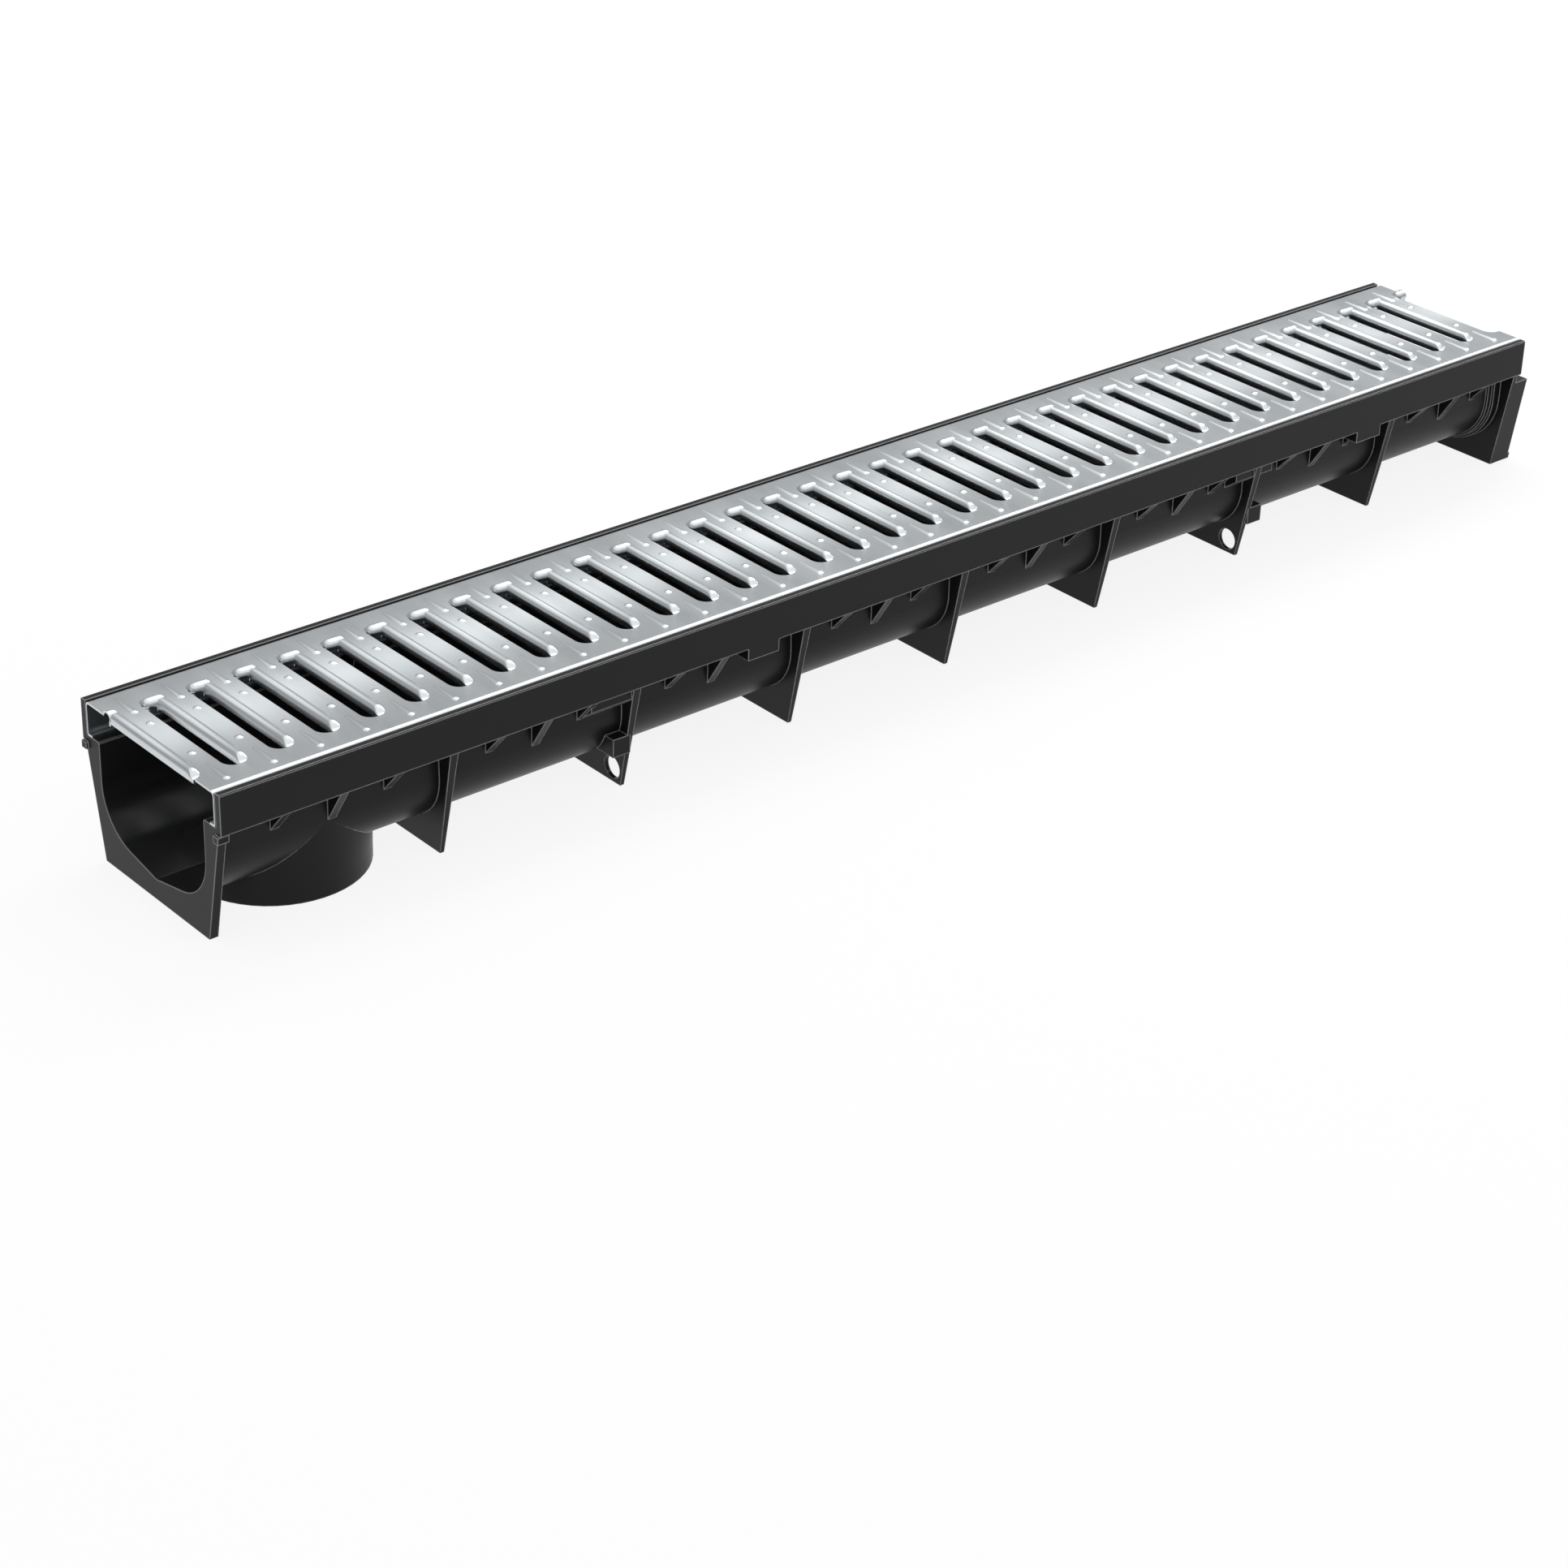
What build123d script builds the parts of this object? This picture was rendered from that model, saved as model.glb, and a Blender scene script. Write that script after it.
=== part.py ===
from build123d import *
import os
from math import cos, radians, sin, tan

# Drainage channel, one moulding, with a snap-in slotted grating pressed from one sheet.
# Millimetres. X runs along the channel from the outlet end to the socket end, Z is up,
# and the feet stand on Z = 0. Places along the channel are counted from the outlet end.

# Channel: driving dimensions
length = 1000.0
outer_width = 132.0
inner_width = 100.0
height = 90.0
rebate_depth = 20.0
rim_wall = 4.3
ledge_thickness = 4.0
wall = 2.0
corner_radius = 30.0
floor_angle = 11.1
ground_gap = 10.0
trough_setback = 3.6
edge_chamfer = 0.7
vertex_reach = 0.01

# Channel: cross ribs that are also the feet
first_rib = 143.4
middle_rib_shift = 4.8
bays_to_outlet = 3
bays_to_socket = 4
foot_half_width = 50.0
rib_lean = 0.2
rib_top_thickness = 5.4
rib_foot_thickness = 2.6
end_plate_thickness = 5.2
stub_length = 4.6
stub_height = 11.8
stub_width = 16.0

# Channel: pipe holes in two ribs, with a corner boss beside each
hole_radius = 6.8
hole_side = 42.8
hole_height = 8.8
holed_ribs = (1, 5)
boss_length = 9.0
boss_root = 9.0
boss_reach = 7.0
boss_height = 11.0
boss_bottom = 23.5

# Channel: gussets below the rim band, as shares of the bay between two ribs
gusset_shares = (0.25, 0.5, 0.75)
gusset_thickness = 5.0
short_gusset = 14.4
long_gusset = 20.3
gusset_inset = 1.2

# Channel: outlet spigot, closed by the channel floor
outlet_place = 72.0
outlet_radius = 51.0
outlet_wall = 3.6
spigot_straight = 9.0
spigot_draft = 1.5

# Channel: seats for cross bars, cut in the ledge
seat_inset = 150.0
seat_pair_spacing = 500.0
seat_length = 16.0
seat_floor_length = 12.2
seat_depth = 8.6
seat_wall = 2.1
seat_side_wall = 3.0

# Channel: wedge recesses behind the grating clips
clip_inset = 250.0
recess_length = 25.0
catch_bottom = 2.8
catch_height = 6.8
catch_depth = 2.5
step_height = 4.6
step_depth = 4.0
lower_drop = 8.8
lower_height = 7.4
lower_depth = 3.4
bump_length = 32.0
bump_reach = 9.0
bump_drop = 14.0
bump_lip = 7.5

# Channel: joint parts at the two ends
nub_reach = 1.5
nub_height = 4.0
nub_depth = 4.4
nub_overhang = 2.0
collar_lengths = (9.5, 6.0)
collar_steps = (1.9, 3.8)
socket_plate = 3.4
wing_top = 61.0
wing_reach = 8.5
wing_foot_reach = 10.3
wing_nub_reach = 11.8
wing_nub_height = 4.0
wing_foot_half = 55.3
wing_lean = 0.159
wing_thickness = 7.9

# Grating: driving dimensions
side_gap = 0.4
sheet = 1.2
bend_radius = 3.0
lip = 5.0
lip_radius = 1.7
slot_pitches = 36
slot_width = 8.1
slot_near_end = 43.6
slot_end_chords = 4
slot_wall = 4.4
bead_radius = 3.2
bead_near = 36.8
roll_chords = 4
roll_bore_chords = 3
hood_radius = 3.8
hood_side = 40.0
hood_left = -7.4
hood_right = 6.7
hood_low_taper = 12.0
hood_high_taper = 54.0
hollow_taper = 36.0
hood_wall = 5.0
strip_shift = -0.6
rib_long = 19.0
rib_centre = 43.7
rib_narrow = 2.4
rib_wide = 4.6
emboss_rise = 1.1
emboss_taper = 38.0

# Grating: spring clips cut from the flanges
clip_width = 15.6
slit_width = 2.4
slit_top = 3.2
slit_bottom = 17.4
tongue_inset = 1.5
nose_top = 11.8
nose_tip = 14.6
tongue_end = 18.4

# Worked out from the dimensions above
middle = (length + wing_nub_reach - nub_reach) / 2
half_width = outer_width / 2
inner_half = inner_width / 2
rebate_half = half_width - rim_wall
ledge_top = height - rebate_depth
band_bottom = ledge_top - ledge_thickness
slope = radians(floor_angle)
arc_side = inner_half - corner_radius
arc_height = ground_gap + (wall + corner_radius + arc_side * sin(slope)) / cos(slope)
trough_length = length - trough_setback
middle_rib = length / 2 + middle_rib_shift
outlet_bay = (middle_rib - first_rib) / bays_to_outlet
socket_bay = (length - middle_rib) / bays_to_socket
ribs = [first_rib + outlet_bay * i for i in range(bays_to_outlet)]
ribs += [middle_rib + socket_bay * i for i in range(bays_to_socket)]
clip_places = (clip_inset, length - clip_inset)
seats = [(seat_inset, 1), (seat_inset + seat_pair_spacing, 1)]
seats += [(length - place, -1) for place, side in seats]
slot_pitch = length / slot_pitches


def at(place):
    """X of a place counted from the outlet end."""
    return place - middle


def u_section(outset, top):
    """Section inside the trough's U, outset from its inner surface and closed at a height."""
    radius = corner_radius + outset
    tip = arc_height - (radius + arc_side * sin(slope)) / cos(slope)
    root = (arc_side + radius * sin(slope), arc_height - radius * cos(slope))
    with BuildSketch() as section:
        with BuildLine():
            Line((0, tip), root)
            CenterArc((arc_side, arc_height), radius, floor_angle - 90, 90 - floor_angle)
            Line((inner_half + outset, arc_height), (inner_half + outset, top))
            Line((inner_half + outset, top), (0, top))
            Line((0, top), (0, tip))
        make_face()
        mirror(about=Plane.YZ)
    return section.sketch


def side_polygon(points, side):
    """Filled outline in the end view, given for the +Y side and turned over for the other one."""
    Polygon(*[(side * y, z) for y, z in points], align=None)


def leaning_plate(foot, lean, top):
    """Filled outline of a plate in the end view: leaning sides up to the band, upright above it."""
    shoulder = foot + lean * band_bottom
    half = [(foot, 0), (shoulder, band_bottom), (shoulder, top)]
    Polygon(*half, *[(-y, z) for y, z in reversed(half)], align=None)


trough_outside = u_section(wall, ledge_top)
trough_inside = u_section(0, ledge_top + edge_chamfer)
collars = [u_section(wall + step, ledge_top - edge_chamfer) for step in collar_steps]

# One cross rib: leaning sides in the end view, thinner towards the foot in the side view
with BuildPart() as cross_rib:
    with BuildSketch(Plane.XZ):
        with BuildLine():
            Polyline(
                (-rib_foot_thickness / 2, 0),
                (rib_foot_thickness / 2, 0),
                (rib_top_thickness / 2, ledge_top - edge_chamfer),
                (-rib_top_thickness / 2, ledge_top - edge_chamfer),
                close=True,
            )
        make_face()
    extrude(amount=half_width, both=True)
    with BuildSketch(Plane.YZ):
        leaning_plate(foot_half_width, rib_lean, ledge_top)
    extrude(amount=rib_top_thickness, both=True, mode=Mode.INTERSECT)

# Wing of the socket end on the +Y side: a leaning slab with a slanted end face and a foot nub
with BuildPart() as wing:
    with BuildSketch(Plane.XZ.offset(-half_width)):
        with BuildLine():
            Polyline(
                (at(trough_length - socket_plate), 0),
                (at(length + wing_nub_reach), 0),
                (at(length + wing_nub_reach), wing_nub_height),
                (at(length + wing_foot_reach), wing_nub_height),
                (at(length + wing_reach), wing_top),
                (at(trough_length - socket_plate), wing_top),
                close=True,
            )
        make_face()
    extrude(amount=half_width)
    with BuildSketch(Plane.YZ.offset(at(trough_length - socket_plate))):
        wing_top_half = wing_foot_half + wing_lean * wing_top
        side_polygon(
            (
                (wing_foot_half, 0),
                (wing_top_half, wing_top),
                (wing_top_half - wing_thickness, wing_top),
                (wing_foot_half - wing_thickness, 0),
            ),
            1,
        )
    extrude(amount=length, mode=Mode.INTERSECT)

# Outlet spigot: a straight ring for the pipe, slightly flared above it up to the trough
with BuildPart() as spigot:
    with BuildSketch(Plane.XY):
        with Locations((at(outlet_place), 0)):
            Circle(outlet_radius)
    extrude(amount=spigot_straight)
    with BuildSketch(Plane.XY.offset(spigot_straight)):
        with Locations((at(outlet_place), 0)):
            Circle(outlet_radius)
    extrude(amount=arc_height - spigot_straight, taper=-spigot_draft)
    with BuildSketch(Plane.XY):
        with Locations((at(outlet_place), 0)):
            Circle(outlet_radius - outlet_wall)
    extrude(amount=arc_height, mode=Mode.SUBTRACT)

with BuildPart() as channel_body:
    # Outer form of the trough and the rim band, still full inside
    with BuildSketch(Plane.YZ.offset(at(0))):
        add(trough_outside)
    extrude(amount=trough_length)
    with BuildSketch(Plane.YZ.offset(at(0))) as band:
        with Locations((0, (height + band_bottom) / 2)):
            Rectangle(outer_width, height - band_bottom)
        chamfer(band.vertices(), length=edge_chamfer)
    extrude(amount=length)

    # Cross ribs and the end plate of the outlet end
    with Locations(*[(at(place), 0, 0) for place in ribs]):
        add(cross_rib.part)
    with BuildSketch(Plane.YZ.offset(at(0))):
        leaning_plate(foot_half_width, rib_lean, ledge_top - edge_chamfer)
    extrude(amount=end_plate_thickness)

    # Low stubs on either side of the outlet, under the trough's keel
    stub_places = (end_plate_thickness, first_rib - rib_foot_thickness / 2 - stub_length)
    for place in stub_places:
        with BuildSketch(Plane.YZ.offset(at(place))):
            with Locations((0, stub_height / 2)):
                Rectangle(stub_width, stub_height)
        extrude(amount=stub_length)

    # Outlet spigot, which dies into the trough
    add(spigot.part)

    # Socket end: stepped collars around the U, an end plate and the two wings
    for collar_length, collar in zip(collar_lengths, collars):
        with BuildSketch(Plane.YZ.offset(at(trough_length - socket_plate - collar_length))):
            add(collar)
        extrude(amount=collar_length)
    with BuildSketch(Plane.YZ.offset(at(trough_length - socket_plate))):
        leaning_plate(wing_foot_half, wing_lean, ledge_top - edge_chamfer)
    extrude(amount=socket_plate)
    add(wing.part)
    add(wing.part.mirror(Plane.XZ))

    # Locating nubs of the outlet end, under the band
    nub_side = foot_half_width + rib_lean * band_bottom + nub_overhang
    for side in (1, -1):
        with BuildSketch(Plane.YZ.offset(at(-nub_reach))):
            with Locations((side * (nub_side - nub_depth / 2), band_bottom - nub_height / 2)):
                Rectangle(nub_depth, nub_height)
        extrude(amount=nub_reach + end_plate_thickness)

    # Gussets between the wall and the band, three in every bay
    bay_starts = [end_plate_thickness] + ribs
    bay_ends = ribs + [length]
    for start, end in zip(bay_starts, bay_ends):
        for share, depth in zip(gusset_shares, (short_gusset, long_gusset, short_gusset)):
            place = start + share * (end - start)
            with BuildSketch(Plane.YZ.offset(at(place) - gusset_thickness / 2)):
                for side in (1, -1):
                    side_polygon(
                        (
                            (inner_half + wall / 2, band_bottom + wall / 2),
                            (half_width - gusset_inset, band_bottom + wall / 2),
                            (half_width - gusset_inset, band_bottom),
                            (inner_half + wall, band_bottom - depth),
                            (inner_half + wall / 2, band_bottom - depth),
                        ),
                        side,
                    )
            extrude(amount=gusset_thickness)

    # Boxes under the ledge that hold the cross bar seats
    for place, side in seats:
        box_length = seat_length + 2 * seat_side_wall
        box_floor = ledge_top - seat_depth - seat_wall
        with BuildSketch(Plane.YZ.offset(at(place) - box_length / 2)):
            side_polygon(
                (
                    (inner_half + wall / 2, ledge_top - edge_chamfer),
                    (half_width, ledge_top - edge_chamfer),
                    (half_width, box_floor),
                    (inner_half + wall / 2, box_floor),
                ),
                side,
            )
        extrude(amount=box_length)

    # Bumps outside the wall that back the wedge recesses
    for place in clip_places:
        with BuildSketch(Plane.YZ.offset(at(place) - bump_length / 2)):
            for side in (1, -1):
                side_polygon(
                    (
                        (inner_half + wall / 2, ledge_top - edge_chamfer),
                        (inner_half + wall + bump_reach, ledge_top - edge_chamfer),
                        (inner_half + wall + bump_reach, band_bottom - bump_lip),
                        (inner_half + wall, band_bottom - bump_drop),
                        (inner_half + wall / 2, band_bottom - bump_drop),
                    ),
                    side,
                )
        extrude(amount=bump_length)

    # Corner bosses of the holed ribs, on the side away from mid-length
    for index in holed_ribs:
        toward = -1 if ribs[index] < length / 2 else 1
        for side in (1, -1):
            with BuildSketch(Plane.YZ.offset(at(ribs[index]))):
                side_polygon(
                    (
                        (inner_half - boss_root, boss_bottom),
                        (inner_half + boss_reach, boss_bottom),
                        (inner_half + boss_reach, boss_bottom + boss_height),
                        (inner_half - boss_root, boss_bottom + boss_height),
                    ),
                    side,
                )
            extrude(amount=toward * (rib_top_thickness / 2 + boss_length))

    # Inside of the trough and the rebate for the grating
    with BuildSketch(Plane.YZ.offset(at(-nub_reach))) as inside:
        add(trough_inside)
        with Locations((0, height)):
            Rectangle(2 * rebate_half, 2 * rebate_depth)
        low, high = ledge_top - vertex_reach, ledge_top + vertex_reach
        ledge_edges = inside.vertices().filter_by_position(Axis.Y, low, high)
        chamfer(ledge_edges, length=edge_chamfer)
    extrude(amount=length + 2 * wing_nub_reach, mode=Mode.SUBTRACT)

    # The ledge stops with the trough, the rim runs on to the full length
    with BuildSketch(Plane.YZ.offset(at(trough_length))):
        with Locations((0, ledge_top)):
            Rectangle(2 * rebate_half, 2 * ledge_thickness)
    extrude(amount=trough_setback, mode=Mode.SUBTRACT)

    # Cross bar seats: drafted pockets through the ledge and the wall
    for place, side in seats:
        with BuildSketch(Plane.XZ.offset(-side * inner_half + side * wall)):
            with BuildLine():
                Polyline(
                    (at(place) - seat_floor_length / 2, ledge_top - seat_depth),
                    (at(place) + seat_floor_length / 2, ledge_top - seat_depth),
                    (at(place) + seat_length / 2, ledge_top),
                    (at(place) + seat_length / 2, ledge_top + edge_chamfer),
                    (at(place) - seat_length / 2, ledge_top + edge_chamfer),
                    (at(place) - seat_length / 2, ledge_top),
                    close=True,
                )
            make_face()
        extrude(amount=-side * (rebate_half - inner_half + wall), mode=Mode.SUBTRACT)

    # Wedge recesses: one in the rim, one in the ledge's edge, one in the wall below
    catch_z = ledge_top + catch_bottom
    lower_z = ledge_top - lower_drop
    for place in clip_places:
        with BuildSketch(Plane.YZ.offset(at(place) - recess_length / 2)):
            for side in (1, -1):
                side_polygon(
                    (
                        (rebate_half, catch_z),
                        (rebate_half + catch_depth, catch_z + catch_height),
                        (rebate_half - edge_chamfer, catch_z + catch_height),
                        (rebate_half - edge_chamfer, catch_z),
                    ),
                    side,
                )
                side_polygon(
                    (
                        (inner_half, ledge_top - step_height),
                        (inner_half + step_depth, ledge_top),
                        (inner_half + step_depth, ledge_top + edge_chamfer),
                        (inner_half - edge_chamfer, ledge_top + edge_chamfer),
                        (inner_half - edge_chamfer, ledge_top - step_height),
                    ),
                    side,
                )
                side_polygon(
                    (
                        (inner_half, lower_z - lower_height),
                        (inner_half + lower_depth, lower_z),
                        (inner_half - edge_chamfer, lower_z),
                        (inner_half - edge_chamfer, lower_z - lower_height),
                    ),
                    side,
                )
        extrude(amount=recess_length, mode=Mode.SUBTRACT)

    # Holes for a fixing bar through two of the ribs
    for index in holed_ribs:
        with BuildSketch(Plane.YZ.offset(at(ribs[index]) - rib_top_thickness / 2)):
            with Locations((hole_side, hole_height), (-hole_side, hole_height)):
                Circle(hole_radius)
        extrude(amount=rib_top_thickness, mode=Mode.SUBTRACT)

# Grating, seated: its lips rest on the ledge and its plate is level with the rim
plate_under = height - sheet
grate_half = rebate_half - side_gap
lip_edge = grate_half - lip
slot_left = -slot_width
slot_right = 2 * bead_radius - sheet / 2
slot_end_radius = (slot_right - slot_left) / 2
hood_near = hood_side - hood_radius
hood_far = hood_side + hood_radius

with BuildSketch() as slot_outline:
    end_turns = [radians(180 + 180 * i / slot_end_chords) for i in range(slot_end_chords + 1)]
    end_x = slot_left + slot_end_radius
    end_y = slot_end_radius - slot_near_end
    end_points = [
        (end_x + slot_end_radius * cos(turn), end_y + slot_end_radius * sin(turn)) for turn in end_turns
    ]
    Polygon(
        *end_points,
        (slot_right, hood_far - sheet / 2),
        (hood_left + sheet / 2, hood_far - sheet / 2),
        (hood_left + sheet / 2, hood_near + sheet),
        (slot_left, hood_near),
        align=None,
    )

# Rolled edge beside one slot, with the slot's middle line at X = 0: a half-round roll
# whose free side is turned down into the slot
with BuildPart() as slot_roll:
    with BuildSketch(Plane.XZ.offset(bead_near)):
        ring = []
        for radius, chords in ((bead_radius, roll_chords), (bead_radius - sheet, roll_bore_chords)):
            turns = [radians(180 * i / chords) for i in range(chords + 1)]
            ring.append([(bead_radius + radius * cos(a), plate_under + radius * sin(a)) for a in turns])
        Polygon(*ring[1], *reversed(ring[0]), align=None)
        Polygon(
            (0, plate_under),
            (0, height - slot_wall),
            (sheet, height - slot_wall),
            (sheet, plate_under),
            align=None,
        )
    extrude(amount=-(bead_near + hood_near + sheet / 2))

# Hood over the far end of one slot: a rounded cap in two tapered steps, hollow beneath,
# with a low wall turned down on the slot's side
with BuildPart() as slot_hood:
    hood_long = hood_right - hood_left
    hood_spot = ((hood_left + hood_right) / 2, hood_side)
    step = hood_radius / 2
    shrink = step * tan(radians(hood_low_taper))
    with BuildSketch(Plane.XY.offset(plate_under)):
        with Locations(hood_spot):
            Rectangle(hood_long, 2 * hood_radius)
    extrude(amount=step, taper=hood_low_taper)
    with BuildSketch(Plane.XY.offset(plate_under + step)):
        with Locations(hood_spot):
            Rectangle(hood_long - 2 * shrink, 2 * hood_radius - 2 * shrink)
    extrude(amount=step, taper=hood_high_taper)
    with BuildSketch(Plane.XY.offset(plate_under)):
        with Locations(hood_spot):
            Rectangle(hood_long - 2 * sheet, 2 * hood_radius - 2 * sheet)
    extrude(amount=hood_radius - sheet, taper=hollow_taper, mode=Mode.SUBTRACT)
    with BuildSketch(Plane.YZ.offset(hood_left)):
        Polygon(
            (hood_near, plate_under),
            (hood_near, height - hood_wall),
            (hood_near + sheet, height - hood_wall),
            (hood_near + sheet, plate_under),
            align=None,
        )
    extrude(amount=-hood_left + sheet / 2)

# Raised marks on one strip between two slots: two tapered ribs
with BuildPart() as strip_marks:
    with BuildSketch(Plane.XY.offset(height)):
        for side in (1, -1):
            near_end = side * rib_centre - rib_long / 2
            Polygon(
                (-rib_wide / 2, near_end),
                (rib_wide / 2, near_end),
                (rib_narrow / 2, near_end + rib_long),
                (-rib_narrow / 2, near_end + rib_long),
                align=None,
            )
    extrude(amount=emboss_rise, taper=emboss_taper)

with BuildPart() as slotted_grating:
    # Folded sheet: plate, two flanges and two lips turned inward
    with BuildSketch(Plane.YZ.offset(at(0))) as fold:
        with Locations((0, height - rebate_depth / 2)):
            Rectangle(2 * grate_half, rebate_depth)
        fillet(fold.vertices().group_by(Axis.Y)[-1], radius=bend_radius)
        fillet(fold.vertices().group_by(Axis.Y)[0], radius=lip_radius)
        with BuildSketch(mode=Mode.SUBTRACT) as hollow:
            with Locations((0, height - rebate_depth / 2)):
                Rectangle(2 * (grate_half - sheet), rebate_depth - 2 * sheet)
            fillet(hollow.vertices().group_by(Axis.Y)[-1], radius=bend_radius - sheet)
            fillet(hollow.vertices().group_by(Axis.Y)[0], radius=lip_radius - sheet)
        with Locations((0, ledge_top)):
            Rectangle(2 * lip_edge, 4 * sheet, mode=Mode.SUBTRACT)
    extrude(amount=length)

    # Raised marks on every strip
    with Locations(*[(at((i + 0.5) * slot_pitch) + strip_shift, 0, 0) for i in range(slot_pitches)]):
        add(strip_marks.part)

    # Slots, then the roll and the hood of each
    slot_places = [at(i * slot_pitch) for i in range(slot_pitches + 1)]
    with BuildSketch(Plane.XY.offset(height - slot_wall)):
        with Locations(*[(place, 0) for place in slot_places]):
            add(slot_outline.sketch)
    extrude(amount=slot_wall + emboss_rise, mode=Mode.SUBTRACT)
    with Locations(*[(place, 0, 0) for place in slot_places]):
        add(slot_roll.part)
        add(slot_hood.part)
    with BuildSketch(Plane.YZ.offset(at(0))):
        with Locations((0, height - rebate_depth / 2)):
            Rectangle(outer_width, 2 * height)
    extrude(amount=length, mode=Mode.INTERSECT)

    # Spring clips: a window in the flange and the lip, two slits, and the tongue with its nose
    for place in clip_places:
        with BuildSketch(Plane.XZ.offset(-outer_width / 2)):
            with Locations((at(place), height)):
                Polygon(
                    (-clip_width / 2 - slit_width, -slit_top),
                    (clip_width / 2 + slit_width, -slit_top),
                    (clip_width / 2 + slit_width, -slit_bottom),
                    (clip_width / 2, -slit_bottom),
                    (clip_width / 2, -rebate_depth - sheet),
                    (-clip_width / 2, -rebate_depth - sheet),
                    (-clip_width / 2, -slit_bottom),
                    (-clip_width / 2 - slit_width, -slit_bottom),
                    align=None,
                )
        extrude(amount=outer_width, mode=Mode.SUBTRACT)
        with BuildSketch(Plane.YZ.offset(at(place) - clip_width / 2)):
            for side in (1, -1):
                outside = [
                    (0, -slit_top + sheet),
                    (0, -slit_top - sheet),
                    (tongue_inset, -slit_top - 2 * sheet),
                    (tongue_inset, -nose_top),
                    (0, -nose_tip),
                    (tongue_inset, -tongue_end),
                ]
                inside_line = [(inset + sheet, depth) for inset, depth in reversed(outside)]
                side_polygon([(grate_half - i, height + z) for i, z in outside + inside_line], side)
        extrude(amount=clip_width)

os.makedirs("parts", exist_ok=True)
for node, name in ((channel_body, "channel_body"), (slotted_grating, "slotted_grating")):
    node.part.label = name
    export_step(node.part, "parts/" + name + ".step")
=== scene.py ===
# %% [markdown]
# # A drainage channel and its slotted grating
# This lesson dresses two CAD pieces for a picture: a black plastic channel moulding and the
# metal grating that clips into its rim. The CAD model is already in metres and stands where
# it should, so every cell below only adds finish, fine form, light and a camera.

from math import cos, pi, radians, sin, sqrt

import bmesh
import bpy
import numpy as np
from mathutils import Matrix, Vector


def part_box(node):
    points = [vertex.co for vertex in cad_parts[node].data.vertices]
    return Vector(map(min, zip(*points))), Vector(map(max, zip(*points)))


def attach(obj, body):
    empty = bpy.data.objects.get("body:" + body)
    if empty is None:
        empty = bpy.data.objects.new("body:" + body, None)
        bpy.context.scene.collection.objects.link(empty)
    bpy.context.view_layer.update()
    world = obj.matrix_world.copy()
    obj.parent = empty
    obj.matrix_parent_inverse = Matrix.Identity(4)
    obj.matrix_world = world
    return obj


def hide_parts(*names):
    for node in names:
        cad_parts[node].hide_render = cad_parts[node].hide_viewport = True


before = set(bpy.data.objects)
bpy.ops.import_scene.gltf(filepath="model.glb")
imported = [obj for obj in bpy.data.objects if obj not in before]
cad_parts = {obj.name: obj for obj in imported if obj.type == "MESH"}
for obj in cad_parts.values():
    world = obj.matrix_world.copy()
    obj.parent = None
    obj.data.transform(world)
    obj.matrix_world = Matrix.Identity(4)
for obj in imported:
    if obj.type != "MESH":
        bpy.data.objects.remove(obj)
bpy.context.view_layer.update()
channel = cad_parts["channel_body"]

# %% [markdown]
# ## Sizes the finish needs
# The grating is made again below as fine sheet metal, so it needs the grating's own sizes.
# They are in millimetres, counted along the channel from its outlet end, with heights from
# the top of the plate. Two numbers tie them to the CAD: the outlet end's X and the plate's Z.

# %% Where the grating lies
MM = 0.001
FLANGE_DEPTH = 20.0
PITCHES = 36
low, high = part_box("slotted_grating")
outlet_end = low.x / MM
plate_z = low.z / MM + FLANGE_DEPTH
half_width = high.y / MM
length = (high.x - low.x) / MM
pitch = length / PITCHES
sheet = 1.2
print(f"outlet end at {outlet_end:.2f} mm, plate top at {plate_z:.2f} mm, pitch {pitch:.3f} mm")

# %% [markdown]
# ## The camera
# The picture was taken with a long lens, a little above the channel and well to the left of
# it. The numbers come from matching the channel's drawn sizes to the picture. The small
# vertical shift is what the picture's framing needs.

# %% Camera
scene = bpy.context.scene
camera_data = bpy.data.cameras.new("camera")
camera = bpy.data.objects.new("camera", camera_data)
scene.collection.objects.link(camera)
scene.camera = camera
camera.location = (-1.30277, -1.39836, 0.95388)
camera.rotation_euler = [radians(a) for a in (63.1423, -1.5561, -40.3114)]
camera_data.sensor_width = 36
camera_data.lens = 82.1144
camera_data.shift_y = -0.08593
camera_data.clip_end = 50
print("lens", camera_data.lens, "mm")

# %% [markdown]
# ## Shader maths as plain Python
# A material is a graph of nodes. Building it with clicks or with long lists of links hides
# the sums in it, so a small class wraps one output and adds Math nodes when it is used in an
# expression. `Graph` makes every other node with its one method, `node`, for a material or for
# the world. A dot product and a ramp between two numbers come up often, so they have names of
# their own. `Finish` is such a graph that feeds one shader.


# %% A value in a material
class Value:
    """One output of a node. Sums on it add Math nodes to the same material."""

    def __init__(self, finish, socket):
        self.finish = finish
        self.socket = socket

    def math(self, operation, first, second):
        return self.finish.node("ShaderNodeMath", {"operation": operation}, {0: first, 1: second})

    def __add__(self, other):
        return self.math("ADD", self, other)

    def __radd__(self, other):
        return self.math("ADD", other, self)

    def __sub__(self, other):
        return self.math("SUBTRACT", self, other)

    def __rsub__(self, other):
        return self.math("SUBTRACT", other, self)

    def __mul__(self, other):
        return self.math("MULTIPLY", self, other)

    def __rmul__(self, other):
        return self.math("MULTIPLY", other, self)


print("Value ready")


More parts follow.
